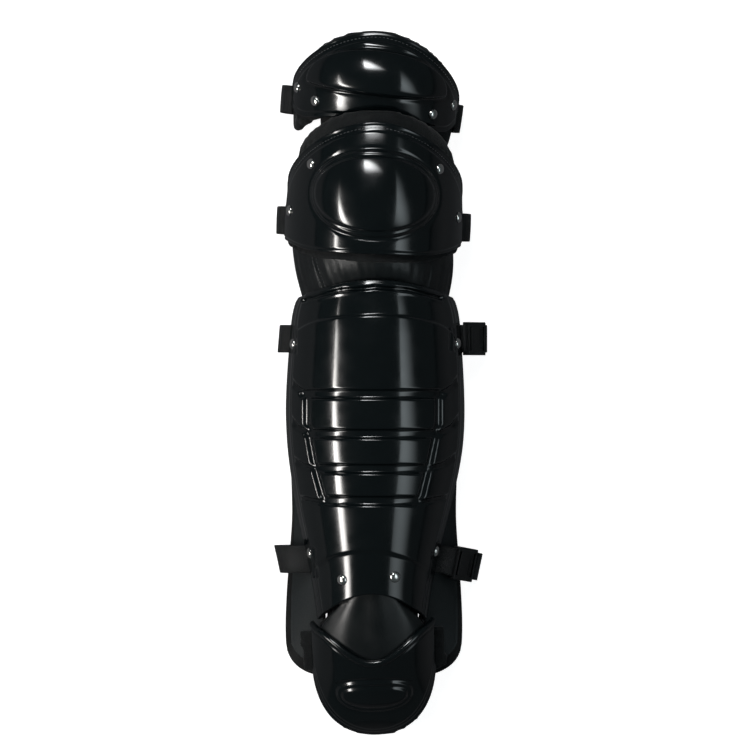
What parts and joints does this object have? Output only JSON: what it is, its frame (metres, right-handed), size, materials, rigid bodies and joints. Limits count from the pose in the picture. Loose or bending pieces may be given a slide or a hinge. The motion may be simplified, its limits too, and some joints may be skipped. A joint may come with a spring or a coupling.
{
  "type": "catcher leg guard",
  "caption": "Hard-shelled leg guard for a catcher: linked thigh, knee, shin and foot shells over mesh padding, with side wings, webbing straps and side-release buckles.",
  "frame": {"origin": "the middle of the guard's footprint on the surface it lies on, at the undersides of its straps", "axes": "+Y from the foot towards the thigh, +X towards the side with the buckles, +Z out of the front of the guard"},
  "size_m": [0.193, 0.6408, 0.1353],
  "materials": {
    "glossy_shell": "high-gloss moulded plastic, near black with a faint cool tint",
    "mesh_padding": "foam padding under knitted mesh cloth, black",
    "leather": "smooth soft leather, black, stitched",
    "coated_cloth": "matte coated cloth over stiff foam, dark grey, bound with woven tape",
    "webbing": "woven twill webbing, black",
    "moulded_plastic": "satin moulded plastic, black",
    "nickel": "bright nickel-plated rivet heads"
  },
  "bodies": {
    "root": {"thigh_shell": "glossy_shell", "knee_shell": "glossy_shell", "shin_shell": "glossy_shell", "foot_shell": "glossy_shell", "thigh_pad": "mesh_padding", "knee_pad": "mesh_padding", "shin_pad": "mesh_padding", "foot_pad": "mesh_padding", "ankle_gusset": "mesh_padding", "link_panel": "leather", "ankle_tongue": "leather", "wing_left": "coated_cloth", "wing_right": "coated_cloth", "link_strap_left": "webbing", "link_strap_right": "webbing", "thigh_strap": "webbing", "knee_strap": "webbing", "shin_strap": "webbing", "shin_strap_end": "webbing", "ankle_strap": "webbing", "ankle_strap_end": "webbing", "shin_buckle_socket": "moulded_plastic", "shin_buckle_plug": "moulded_plastic", "ankle_buckle_socket": "moulded_plastic", "ankle_buckle_plug": "moulded_plastic", "thigh_rivet_left_outer": "nickel", "thigh_rivet_left_inner": "nickel", "thigh_rivet_right_inner": "nickel", "thigh_rivet_right_outer": "nickel", "knee_rivet_left_upper": "nickel", "knee_rivet_right_upper": "nickel", "knee_rivet_left_side": "nickel", "knee_rivet_right_side": "nickel", "shin_rivet_left_upper": "nickel", "shin_rivet_right_upper": "nickel", "shin_rivet_left_lower": "nickel", "shin_rivet_right_lower": "nickel", "shin_rivet_left_front": "nickel", "shin_rivet_right_front": "nickel"}
  },
  "joints": []
}
